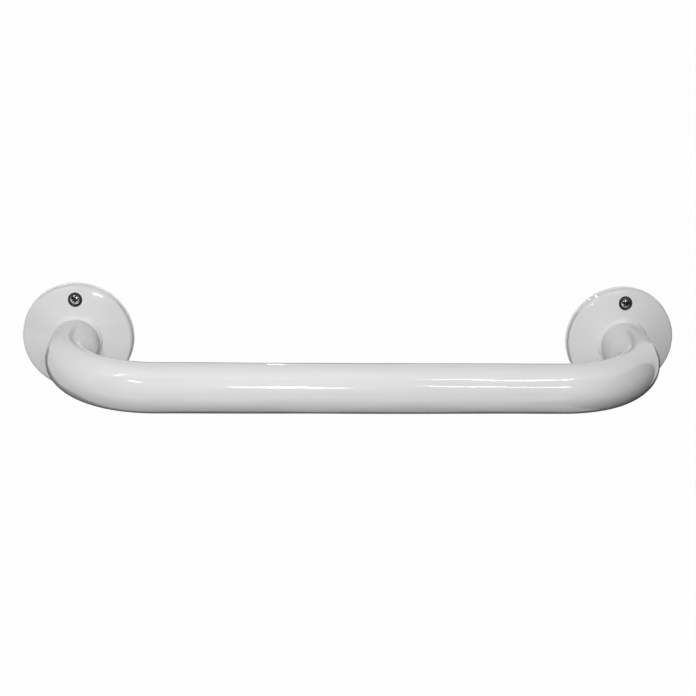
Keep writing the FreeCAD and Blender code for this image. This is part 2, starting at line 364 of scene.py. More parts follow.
@dataclass(frozen=True)
class PlatedSteel:
    """Bright plated steel with turning marks, with near-black painted shade in the recess and round the
    head's edge.
    """

    bright: Colour = (0.6, 0.6, 0.605)
    dull: Colour = (0.28, 0.275, 0.27)
    # Near black: the colour of the painted shade
    painted_shade_tone: Colour = (0.014, 0.013, 0.012)
    gloss: float = 0.07
    patch_grain: float = 1.6
    pit_spacing: float = 0.9
    pit_radius: float = 0.07
    mark_pitch: float = 0.16
    mark_turn_share: float = 0.05
    mark_depth: float = 6.0e-6
    # Radii over which the painted shade rises towards the head's edge
    edge_shade_radii: Pair = (2.7, 3.5)

    def material(self) -> bpy.types.Material:
        """Lay out the steel's nodes."""
        finish, board = new_finish("bright_screw")
        place = board.own_place()
        turned = board.marked("turned", "Vector")
        patches = board.noise(place, self.patch_grain, 3.0, 0.6)
        pits = board.specks(place, self.pit_spacing, self.pit_radius)
        rings = board.noise(board.scaled(turned, (1.0, self.mark_turn_share, 1.0)), self.mark_pitch)
        # How deep a point lies in the recess, stored as the screw's wear mark
        depth = Value(board, board.marked("wear"))
        radius = Value(board, board.node("ShaderNodeSeparateXYZ", {}, {"Vector": turned}).outputs["X"])
        # Painted shade: darker deeper in the recess and round the head's edge, where the gap under the head
        # falls in shadow
        painted_shade = (depth + 0.5 * patches - 0.25).rise(0.3, 0.9).above(radius.rise(*self.edge_shade_radii))

        colour = board.blend(self.bright, self.dull, patches.rise(0.45, 0.75) * 0.5)
        colour = board.blend(colour, self.painted_shade_tone, painted_shade * 0.95)
        feeds = {
            "Base Color": colour,
            "Roughness": self.gloss + 0.12 * patches.rise(0.4, 0.8) + 0.35 * painted_shade,
            "Metallic": 1 - painted_shade * 0.6,
        }
        board.shine(feeds, rings * 0.6 + patches * 0.5 - pits, self.mark_depth)
        return finish


@dataclass(frozen=True)
class PaleFloor:
    """A plain pale floor that runs out to white and keeps a soft shadow."""

    tone: Colour = (0.8, 0.8, 0.8)
    cloud_share: float = 0.97
    cloud_grain: float = 600.0
    glow: float = 0.985

    def material(self) -> bpy.types.Material:
        """Lay out the floor's nodes."""
        finish, board = new_finish("pale_floor")
        cloud = board.noise(board.own_place(), self.cloud_grain)
        colour = board.blend(self.tone, tuple(self.cloud_share * part for part in self.tone), cloud)
        matt = {"Base Color": colour, "Roughness": 1.0, "Specular IOR Level": 0.0}
        plain = board.node("ShaderNodeBsdfPrincipled", {}, matt).outputs["BSDF"]
        white = board.node("ShaderNodeEmission", {}, {"Color": (1.0, 1.0, 1.0, 1.0), "Strength": 1.0})
        share = board.backdrop_rays() * self.glow
        board.whiten("ShaderNodeOutputMaterial", plain, white.outputs["Emission"], share)
        return finish


@dataclass(frozen=True)
class CardCloth:
    """The plain cloth of a studio card."""

    tone: float = 0.02
    weave_tone: float = 0.026
    weave_grain: float = 3.0
    weave_depth: float = 1.0e-4

    def material(self) -> bpy.types.Material:
        """Lay out the cloth's nodes."""
        finish, board = new_finish("card_cloth")
        weave = board.noise(board.own_place(), self.weave_grain)
        colour = board.blend((self.tone,) * 3, (self.weave_tone,) * 3, weave)
        matt = {"Base Color": colour, "Roughness": 0.95, "Specular IOR Level": 0.0}
        board.shine(matt, weave, self.weave_depth)
        return finish


# Meshes


class Shell:
    """Rows of points and the faces between them, gathered into one mesh, in millimetres."""

    def __init__(self) -> None:
        """Start with no points."""
        self.points: list[np.ndarray] = []
        self.faces: list[tuple[int, ...]] = []
        self.wear: list[np.ndarray] = []
        self.bare: list[np.ndarray] = []
        self.count = 0

    def add(
        self,
        points: np.ndarray,
        faces: Iterable[tuple[int, ...]],
        wear: np.ndarray | float = 0.0,
        bare: np.ndarray | float = 0.0,
    ) -> None:
        """Add points and the faces between them.

        Args:
            points: one row of three numbers for each point.
            faces: the indices of each face's points among these points.
            wear: how worn each point is, from 0 to 1, or on a screw how deep its painted shade is.
            bare: how bare of enamel each point is, from 0 to 1.
        """
        flat = np.asarray(points, float).reshape(-1, 3)
        self.points.append(flat)
        self.wear.append(np.broadcast_to(np.asarray(wear, float), flat.shape[:1]))
        self.bare.append(np.broadcast_to(np.asarray(bare, float), flat.shape[:1]))
        self.faces.extend(tuple(int(corner) + self.count for corner in face) for face in faces)
        self.count += len(flat)

    def add_rows(
        self,
        rows: np.ndarray,
        wear: np.ndarray | float = 0.0,
        bare: np.ndarray | float = 0.0,
        looped: bool = False,
    ) -> None:
        """Add closed rings of points with four-sided faces between them.

        Args:
            rows: the rings, as an array of ring, point and axis.
            wear: how worn each ring is, or one number for all; on a screw, how deep its painted shade is.
            bare: how bare each ring is, or one number for all.
            looped: True where the last ring joins the first.
        """
        rings, around = rows.shape[:2]
        last = rings if looped else rings - 1
        faces = [
            (
                row * around + step,
                row * around + (step + 1) % around,
                (row + 1) % rings * around + (step + 1) % around,
                (row + 1) % rings * around + step,
            )
            for row in range(last)
            for step in range(around)
        ]
        worn = np.repeat(np.broadcast_to(np.asarray(wear, float), (rings,)), around)
        stripped = np.repeat(np.broadcast_to(np.asarray(bare, float), (rings,)), around)
        self.add(rows, faces, worn, stripped)

    def build(self, name: str, place: Matrix, turned: bool = False) -> bpy.types.Object:
        """Make the mesh and its object.

        Args:
            name: the piece's name.
            place: from the shell's axes to the frame's, in millimetres.
            turned: True where each point stores its radius, angle and height about the piece's axis.

        Returns:
            The object.
        """
        points = np.concatenate(self.points)
        mesh = bpy.data.meshes.new(name)
        mesh.from_pydata(points.tolist(), [], self.faces)
        for label, marks in (("wear", self.wear), ("bare", self.bare)):
            stored = mesh.attributes.new(label, "FLOAT", "POINT")
            stored.data.foreach_set("value", np.concatenate(marks).astype(np.float32))
        if turned:
            x, y, z = points.T
            about = np.stack([np.hypot(x, y), np.arctan2(y, x), z], axis=1)
            stored = mesh.attributes.new("turned", "FLOAT_VECTOR", "POINT")
            stored.data.foreach_set("vector", about.astype(np.float32).ravel())
        shape = bmesh.new()
        shape.from_mesh(mesh)
        bmesh.ops.remove_doubles(shape, verts=shape.verts, dist=WELD_GAP)
        bmesh.ops.dissolve_degenerate(shape, dist=WELD_GAP, edges=shape.edges)
        bmesh.ops.recalc_face_normals(shape, faces=shape.faces)
        for face in shape.faces:
            face.smooth = True
        for edge in shape.edges:
            edge.smooth = len(edge.link_faces) != 2 or edge.calc_face_angle(0.0) < CREASE
        shape.to_mesh(mesh)
        shape.free()
        mesh.transform(Matrix.Scale(MILLIMETRE, 4) @ place)
        return put(name, mesh)


def put(name: str, data: bpy.types.ID, place: Matrix | None = None) -> bpy.types.Object:
    """Put an object in the scene.

    Args:
        name: its name.
        data: its mesh, lamp or camera.
        place: its matrix, where it isn't at the origin.

    Returns:
        The object.
    """
    thing = bpy.data.objects.new(name, data)
    if place is not None:
        thing.matrix_world = place
    bpy.context.scene.collection.objects.link(thing)
    return thing


def turns(count: int) -> np.ndarray:
    """Even angles all the way round, from 0, in radians."""
    return np.linspace(0.0, 2 * math.pi, count, endpoint=False)


def circle(count: int) -> np.ndarray:
    """Flat points of a circle of radius 1."""
    return np.stack([np.cos(turns(count)), np.sin(turns(count))], axis=1)


def ring(radius: np.ndarray | float, height: np.ndarray | float, count: int) -> np.ndarray:
    """A closed ring of points about the Z axis.

    Args:
        radius: one radius, or one for each point.
        height: one height, or one for each point.
        count: how many points it has.

    Returns:
        The points.
    """
    return np.column_stack([circle(count) * np.reshape(radius, (-1, 1)), np.broadcast_to(height, count)])


def off_axis(flat: np.ndarray, middle: float = 0.0) -> np.ndarray:
    """Each flat point's distance from a point of the upright axis."""
    return np.hypot(flat[:, 0], flat[:, 1] - middle)


def arc(centre: Sequence[float], radius: float, start: float, end: float, steps: int) -> Profile:
    """Points of an arc in a profile.

    Args:
        centre: the arc's centre, as radius and height.
        radius: the arc's radius.
        start: the angle of its first point, in degrees from outward.
        end: the angle of its last point.
        steps: how many pieces it is divided into.

    Returns:
        The points, as radius and height.
    """
    angles = np.radians(np.linspace(start, end, steps + 1))
    return [(centre[0] + radius * math.cos(a), centre[1] + radius * math.sin(a)) for a in angles]


def line(start: Sequence[float], end: Sequence[float], steps: int) -> Profile:
    """Points of a straight stretch in a profile, from start to end."""
    return [tuple(point) for point in np.linspace(start, end, steps + 1)]


def corner(sphere: float, middle: float, wall: float, rounding: float) -> tuple[Pair, float, float]:
    """The rounding between a domed face and the wall round it.

    Args:
        sphere: radius of the dome's sphere.
        middle: height of the sphere's centre.
        wall: the wall's radius.
        rounding: the rounding's radius.

    Returns:
        The rounding's centre, the radius where it leaves the dome and its angle there in degrees.
    """
    reach = sphere - rounding
    out = wall - rounding
    up = math.sqrt(reach**2 - out**2)
    return (out, middle + up), out * sphere / reach, math.degrees(math.atan2(up, out))


def swell(place: np.ndarray, around: np.ndarray, waves: Iterable[Wave]) -> np.ndarray:
    """Slow unevenness of a drawn tube.

    Args:
        place: how far along the tube, in millimetres.
        around: the angle around it, in radians.
        waves: the waves that it is made of.

    Returns:
        The height at each point, in millimetres.
    """
    return sum(
        height * np.sin(2 * math.pi * place / length + count * around + start)
        for height, length, count, start in waves
    )


def ripples_round(around: np.ndarray, ripples: Iterable[Ripple]) -> np.ndarray:
    """The sum of some ripples at each angle of a ring."""
    return sum(height * np.sin(count * around + start) for height, count, start in ripples)


def triangles(
    loops: Sequence[np.ndarray], free: Sequence[np.ndarray], merge: float
) -> tuple[np.ndarray, np.ndarray]:
    """Triangles over flat points.

    Args:
        loops: closed outlines, whose edges are kept.
        free: further points.
        merge: the gap under which two points become one.

    Returns:
        The points, and the three indices of each triangle.
    """
    edges = []
    start = 0
    for loop in loops:
        count = len(loop)
        edges += [(start + step, start + (step + 1) % count) for step in range(count)]
        start += count
    flat = np.concatenate([*loops, *free])
    laid = geometry.delaunay_2d_cdt([Vector(point) for point in flat.tolist()], edges, [], 0, merge)
    return np.array([tuple(point) for point in laid[0]]), np.array([tuple(face) for face in laid[2]])


def within(points: np.ndarray, outline: np.ndarray) -> np.ndarray:
    """Which points lie inside a closed outline.

    Args:
        points: the points.
        outline: the outline's points, in order.

    Returns:
        True for each point inside.
    """
    inside = np.zeros(len(points), bool)
    for first, second in zip(outline, np.roll(outline, -1, axis=0)):
        crosses = (first[1] > points[:, 1]) != (second[1] > points[:, 1])
        run = (second[0] - first[0]) * (points[:, 1] - first[1]) / (second[1] - first[1] + TINY) + first[0]
        inside ^= crosses & (points[:, 0] < run)
    return inside


def wall_place(x: float, z: float = 0.0, lift: float = 0.0, turn: float = 0.0) -> Matrix:
    """Where a piece with its own axis square to the wall goes.

    Args:
        x: the axis's X in the frame, in millimetres.
        z: the axis's Z in the frame.
        lift: how far the piece's own zero stands off the wall.
        turn: the piece's turn about its axis, in degrees.

    Returns:
        The matrix from the piece's axes to the frame's.
    """
    upright = Matrix(((1, 0, 0, x), (0, 0, -1, -lift), (0, 1, 0, z), (0, 0, 0, 1)))
    return upright @ Matrix.Rotation(math.radians(turn), 4, "Z")


# Sub-assemblies


@dataclass(kw_only=True)
class FlangeForm:
    """The heights and radii of a flange, in millimetres from the wall and from its axis.

    half_span is from the rail's middle to that axis, and screw_reach from the axis to a screw.
    """

    half_span: float
    screw_reach: float
    rim: float = 38.1
    depth: float = 13.2
    dome: float = 110.0
    sheet: float = 1.8
    shoulder: float = 2.4
    inner_corner: float = 0.6
    bead: float = 0.9
    bead_reach: float = 0.7
    foot_lip: float = 0.25
    bore: float = 16.025
    tube: float = 15.875
    seat: float = 4.8
    seat_lip: float = 0.3
    hole: float = 2.7

    @property
    def wall(self) -> float:
        """Radius of the rim's wall."""
        return self.rim - self.bead_reach

    @property
    def inside(self) -> float:
        """Radius of the cup's inner wall."""
        return self.wall - self.sheet

    @property
    def dome_centre(self) -> float:
        """Height of the centre of the face's sphere."""
        return self.depth - math.sqrt(self.dome**2 - self.tube**2)

    @property
    def seat_height(self) -> float:
        """Height of the screws' seats."""
        return float(self.face(self.screw_reach + self.seat)) - self.seat_lip

    def face(self, radius: np.ndarray | float, depth: float = 0.0) -> np.ndarray | float:
        """Height of the face, or of a surface deeper in the sheet."""
        return self.dome_centre + np.sqrt((self.dome - depth) ** 2 - np.square(radius))


@dataclass(kw_only=True)
class Piece:
    """Something that ends up as one visible piece of the rail."""

    finish: bpy.types.Material
    form: FlangeForm
    slot: str = "white_enamel"

    def dress(self, piece: bpy.types.Object, node: str) -> None:
        """Give a piece its finish and let it stand for its node.

        Args:
            piece: the piece.
            node: the node that it replaces.
        """
        piece.data.materials.append(self.finish)
        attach(piece, "root")
        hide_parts(node)
        LOG.info("%s: %d faces, %s", piece.name, len(piece.data.polygons), self.finish.name)


@dataclass(kw_only=True)
class GripTube(Piece):
    """The bent tube: a leg, a bend, the grip, a bend and a leg."""

    standoff: float = 102.0
    bend: float = 63.5
    end_gap: float = 1.0
    wall: float = 1.5
    inner_flattening: float = 3.0
    outer_flattening: float = 0.7
    spread: float = 0.4
    around: int = 120
    step: float = 1.6
    edge: float = 0.2
    edge_share: float = 0.3
    calm_length: float = 25.0
    # How bare the outside, the far lip, the inside and the near lip are; bare places show near-black steel,
    # which paints shade inside the tube
    bare_shares: tuple[float, ...] = (0.0, 0.6, 1.0, 0.6)
    waves: tuple[Wave, ...] = (
        (0.060, 233.0, 3, 0.4),
        (0.042, 139.0, -6, 1.7),
        (0.030, 97.0, 7, 2.9),
        (0.016, 61.0, -9, 0.9),
        (0.008, 41.0, 11, 2.2),
    )

    def route(self) -> tuple[np.ndarray, np.ndarray, np.ndarray]:
        """The centreline.

        Returns:
            The points, the directions there and each point's share of a bend, which is 0 outside a bend
            and 1 in its middle.
        """
        leg = self.standoff - self.bend
        quarter = self.bend * math.pi / 2
        grip = 2 * (self.form.half_span - self.bend)
        legs = max(2, round((leg - self.end_gap) / self.step))
        # Each row holds a point's X and Y, the X and Y of the direction there, and the share
        rows = []
        for y in np.linspace(self.end_gap, leg, legs, endpoint=False):
            rows.append((-self.form.half_span, -y, 0.0, -1.0, 0.0))
        for angle in np.linspace(0.0, math.pi / 2, round(quarter / self.step), endpoint=False):
            across, out = math.sin(angle), math.cos(angle)
            x = self.bend - self.form.half_span - self.bend * out
            rows.append((x, -leg - self.bend * across, across, -out, math.sin(2 * angle)))
        for x in np.linspace(-grip / 2, 0.0, round(grip / 2 / self.step), endpoint=False):
            rows.append((x, -self.standoff, 1.0, 0.0, 0.0))
        first = np.array(rows)
        mirrored = first[::-1] * (-1.0, 1.0, 1.0, -1.0, 1.0)
        rows = np.vstack([first, (0.0, -self.standoff, 1.0, 0.0, 0.0), mirrored])
        return rows[:, :2], rows[:, 2:4], rows[:, 4]

    def sweep(self, radius: np.ndarray, route: tuple[np.ndarray, ...]) -> np.ndarray:
        """Rings of points square to the centreline.

        Args:
            radius: the radius at each ring and angle.
            route: the centreline, as route gives it.

        Returns:
            The rings.
        """
        points, ways, shares = route
        angle = turns(radius.shape[1])
        outward = np.stack([-ways[:, 1], ways[:, 0]], axis=1)
        turned_in = np.cos(angle)[None, :]
        squeeze = np.where(turned_in > 0, self.inner_flattening, self.outer_flattening) * shares[:, None]
        across = (radius - squeeze) * turned_in
        upward = (radius + self.spread * shares[:, None]) * np.sin(angle)
        x = points[:, None, 0] + across * outward[:, None, 0]
        y = points[:, None, 1] + across * outward[:, None, 1]
        return np.stack([x, y, upward], axis=2)

    def lip(self, route: tuple[np.ndarray, ...], end: int) -> np.ndarray:
        """The rounded end of the tube's wall, from outside to inside.

        Args:
            route: the centreline.
            end: 0 for its first point and -1 for its last.

        Returns:
            The rings.
        """
        points, ways, shares = (part[[end]] for part in route)
        back = ways * self.edge * (1 if end == 0 else -1)
        inside = self.form.tube - self.wall
        trim = self.edge * self.edge_share
        steps = [(self.form.tube - trim, self.edge_share), (self.form.tube - self.edge, 0.0)]
        steps += [(inside + self.edge, 0.0), (inside + trim, self.edge_share)]
        rings = [
            self.sweep(np.full((1, self.around), radius), (points + back * share, ways, shares))
            for radius, share in steps
        ]
        return np.concatenate(rings)

    def build(self) -> None:
        """Build the tube."""
        route = self.route()
        points, ways, shares = route
        along = np.concatenate([[0.0], np.cumsum(np.linalg.norm(np.diff(points, axis=0), axis=1))])
        from_end = np.minimum(along, along[-1] - along)
        calm = np.clip(from_end / self.calm_length, 0.0, 1.0)[:, None]
        outside = self.form.tube + swell(along[:, None], turns(self.around)[None, :], self.waves) * calm
        inside = np.full(outside.shape, self.form.tube - self.wall)
        cut = points.copy()
        cut[0] += ways[0] * self.edge
        cut[-1] -= ways[-1] * self.edge
        outer = self.sweep(outside, (cut, ways, shares))
        inner = self.sweep(inside, (cut, ways, shares))
        rows = [outer, self.lip(route, -1), inner[::-1], self.lip(route, 0)[::-1]]
        bare = np.repeat(self.bare_shares, [len(part) for part in rows])
        shell = Shell()
        shell.add_rows(np.concatenate(rows), 0.0, bare, looped=True)
        self.dress(shell.build("grip_tube", Matrix.Identity(4)), "rail_tube")


@dataclass(kw_only=True)
class EndPiece(Piece):
    """A piece at one end of the rail, about a flange's axis."""

    side: Side

    @property
    def axis(self) -> float:
        """The X of the flange's axis."""
        return self.side.value * self.form.half_span

    @property
    def end(self) -> str:
        """The end's name."""
        return self.side.name.lower()


@dataclass(kw_only=True)
class Flange(EndPiece):
    """A pressed cup with a domed face, two sunk seats with holes and a bead round its foot."""

    around: int = 192
    around_screw: int = 96
    spacing: float = 1.5
    merge: float = 1e-6
    seat_rounding: float = 0.22
    seat_margin: float = 0.1
    seat_fillet: float = 0.35
    seat_fillet_share: float = 0.6
    hole_edge: Pair = (0.15, 0.12)
    boss: float = 8.0
    boss_rounding: float = 0.7
    # Rings of points round a screw, outside its gap and about the edge of its boss
    gap_rings: tuple[float, ...] = (0.35, 0.8, 1.5)
    boss_rings: tuple[float, ...] = (-0.6, -0.3, -0.15, 0.0, 0.15, 0.3, 0.7)
    ring_margin: float = 0.1
    edge_margin: float = 0.25
    crowding: float = 1.6
    foot_wear: float = 0.55
    foot_wear_inset: float = 0.3
    foot_wear_reach: float = 1.2
    bore_wear: float = 0.2
    # Rows of a seat, from its lip to its hole, and how worn and how bare they are; both also paint shade into
    # the seat's floor and round its hole, through chips and near-black steel
    seat_wear: tuple[tuple[float, ...], ...] = ((0, 4, 10, 14, 17), (0.0, 0.3, 0.5, 0.65, 0.3))
    seat_bare_and_shade: tuple[tuple[float, ...], ...] = ((0, 6, 9, 14, 17), (0.0, 0.1, 0.9, 1.0, 0.8))

    def build(self) -> None:
        """Build the flange."""
        form = self.form
        shell = Shell()
        middle = form.dome_centre
        centre, face_edge, angle = corner(form.dome, middle, form.wall, form.shoulder)
        inner_sphere = form.dome - form.sheet
        inner_centre, ceiling_edge, inner_angle = corner(inner_sphere, middle, form.inside, form.inner_corner)
        foot = form.rim - form.bead
        lift = math.degrees(math.acos((form.wall - foot) / form.bead))
        bead_top = form.bead * math.sin(math.radians(lift)) + form.bead
        lip = form.foot_lip
        profile = [
            *arc(centre, form.shoulder, angle, 0.0, 14),
            *line((form.wall, centre[1]), (form.wall, bead_top), 4)[1:],
            *arc((foot, form.bead), form.bead, lift, -90.0, 16)[1:],
            *line((foot, 0.0), (form.inside + lip, 0.0), 2)[1:],
            *arc((form.inside + lip, lip), lip, -90.0, -180.0, 4)[1:],
            *line((form.inside, lip), (form.inside, inner_centre[1]), 5)[1:],
            *arc(inner_centre, form.inner_corner, 0.0, inner_angle, 6)[1:],
        ]
        inset = self.foot_wear_inset
        radii, heights = np.array(profile).T
        near = 1 - np.hypot(radii - form.rim + inset, heights - inset) / self.foot_wear_reach
        rows = np.stack([ring(radius, height, self.around) for radius, height in profile])
        shell.add_rows(rows, np.clip(near, 0, 1) * self.foot_wear)

        seat_edge = form.seat + self.seat_rounding + self.seat_margin
        self.lay_face(shell, face_edge, seat_edge, self.front_height)
        self.lay_face(shell, ceiling_edge, form.hole, self.back_height)
        heights = np.linspace(form.face(form.bore), form.face(form.bore, form.sheet), 3)
        bore = np.stack([ring(form.bore, height, self.around) for height in heights])
        shell.add_rows(bore, self.bore_wear)
        for level in Level:
            self.lay_seat(shell, level, seat_edge)
        self.dress(shell.build(f"flange_cup_{self.end}", wall_place(self.axis)), f"flange_{self.end}")

    def front_height(self, flat: np.ndarray) -> np.ndarray:
        """Height of the domed face over points of the wall."""
        return self.form.face(off_axis(flat))

    def back_height(self, flat: np.ndarray) -> np.ndarray:
        """Height of the cup's ceiling over points of the wall, with the thickened place round each hole."""
        form = self.form
        ceiling = form.face(off_axis(flat), form.sheet)
        thick = form.seat_height - form.sheet
        for level in Level:
            reach = off_axis(flat, level.value * form.screw_reach)
            share = np.clip((self.boss + self.boss_rounding / 2 - reach) / self.boss_rounding, 0, 1)
            share = share * share * (3 - 2 * share)
            ceiling = ceiling + (np.minimum(thick, ceiling) - ceiling) * share
        return ceiling

    def lay_face(
        self, shell: Shell, edge: float, gap: float, height: Callable[[np.ndarray], np.ndarray]
    ) -> None:
        """Lay triangles over one face of the sheet, from its edge in to the bore, round the two screws.

        Args:
            shell: what the face is added to.
            edge: radius of the face's edge.
            gap: radius left open round each screw.
            height: the face's height over points of the wall.
        """
        bore = self.form.bore
        wide, small = circle(self.around), circle(self.around_screw)
        screws = [level.value * self.form.screw_reach for level in Level]
        loops = [wide * edge, wide * bore, *((0.0, screw) + small * gap for screw in screws)]
        rings = round((edge - bore) / self.spacing)
        free = np.concatenate([wide * radius for radius in np.linspace(bore, edge, rings + 1)[1:-1]])
        for screw in screws:
            free = free[off_axis(free, screw) > self.boss + self.crowding]
        near = [gap + out for out in self.gap_rings] + [self.boss + out for out in self.boss_rings]
        near = [radius for radius in sorted(near) if radius > gap + self.ring_margin]
        extra = np.concatenate([(0.0, screw) + small * radius for screw in screws for radius in near])
        reach = off_axis(extra)
        extra = extra[(reach < edge - self.edge_margin) & (reach > bore + self.edge_margin)]
        points, faces = triangles(loops, [free, extra], self.merge)
        middle = points[faces].mean(axis=1)
        reach = off_axis(middle)
        keep = (reach > bore * math.cos(math.pi / self.around)) & (reach < edge)
        for screw in screws:
            keep &= off_axis(middle, screw) > gap * math.cos(math.pi / self.around_screw)
        shell.add(np.column_stack([points, height(points)]), faces[keep].tolist())

    def lay_seat(self, shell: Shell, level: Level, edge: float) -> None:
        """Lay a sunk seat: its rounded lip, wall, floor and hole.

        Args:
            shell: what the seat is added to.
            level: which of the flange's two screws it is for.
            edge: radius where the seat's lip begins.
        """
        form = self.form
        way = circle(self.around_screw)
        flat = np.ones(self.around_screw)
        screw = 0.0, level.value * form.screw_reach
        floor = form.seat_height
        lip = self.seat_rounding
        rows = [(flat * edge, self.front_height(screw + way * edge))]
        for angle in np.radians(np.linspace(90.0, 0.0, 7)):
            radius = form.seat + lip * (1 - math.cos(angle))
            top = self.front_height(screw + way * radius)
            rows.append((flat * radius, top - lip * (1 - math.sin(angle))))
        fillet = np.minimum(self.seat_fillet, (rows[-1][1] - floor) * self.seat_fillet_share)
        for angle in np.radians(np.linspace(0.0, 90.0, 5)):
            rows.append((form.seat - fillet * (1 - math.cos(angle)), floor + fillet * (1 - math.sin(angle))))
        out, down = self.hole_edge
        rows += [(flat * radius, flat * floor) for radius in ((form.seat + form.hole) / 2, form.hole + out)]
        depths = down, form.sheet / 2, form.sheet
        rows += [(flat * form.hole, flat * (floor - depth)) for depth in depths]
        points = [np.column_stack([screw + way * radius[:, None], height]) for radius, height in rows]
        steps = np.arange(len(rows))
        shell.add_rows(np.stack(points), np.interp(steps, *self.seat_wear), np.interp(steps, *self.seat_bare_and_shade))


@dataclass(kw_only=True)
class WeldRing(EndPiece):
    """A ring of weld in the corner between the tube and one face of a flange."""

    face: Face
    leg: float = 2.2
    climb: float = 1.3
    hollow: float = 1.5
    ripple: float = 0.03
    ripples: int = 46
    drift: tuple[Ripple, ...] = ((1.3, 3, 0.0),)
    beat: tuple[Ripple, ...] = ((0.5, 7, 0.6),)
    ragged: tuple[Ripple, ...] = ((0.05, 5, 0.8), (0.03, 11, 2.1))
    back_roughness: float = 2.2
    sink: float = 0.08
    start_turn: float = 37.0
    around: int = 276
    across: int = 14
    crowding: float = 1.3
    least_wear: float = 0.15
    crown_wear: float = 0.2

    def build(self) -> None:
        """Build the ring."""
        form = self.form
        front = self.face is Face.FRONT
        way, depth, rough = (1.0, 0.0, 1.0) if front else (-1.0, form.sheet, self.back_roughness)
        angle = turns(self.around)
        phase = self.ripples * angle + ripples_round(angle, self.drift)
        beat = np.sin(phase) + ripples_round(angle, self.beat)
        ragged = ripples_round(angle, self.ragged)
        rows = []
        for share in np.linspace(0.0, 1.0, self.across + 1) ** self.crowding:
            wave = math.sin(math.pi * share) * self.ripple * rough * beat
            out = self.leg * share * (1 + rough * ragged) + wave
            up = self.climb * (1 - share**2) ** self.hollow + wave
            radius = form.tube - self.sink * (1 - share) + np.maximum(out, 0.0)
            height = form.face(radius, depth) + way * (up - self.sink * share)
            rows.append(ring(radius, height, self.around))
        root = form.face(form.tube, depth)
        rows.append(ring(form.tube - self.sink, root - way * self.sink * 2, self.around))
        worn = self.least_wear + self.crown_wear * np.sin(np.linspace(0.0, math.pi, self.across + 1))
        shell = Shell()
        shell.add_rows(np.stack(rows), np.array([*worn, 0.0]), looped=True)
        name = f"{self.face.value}_{self.end}"
        piece = shell.build(f"weld_ring_{name}", wall_place(self.axis, turn=self.start_turn))
        self.dress(piece, f"weld_{name}")


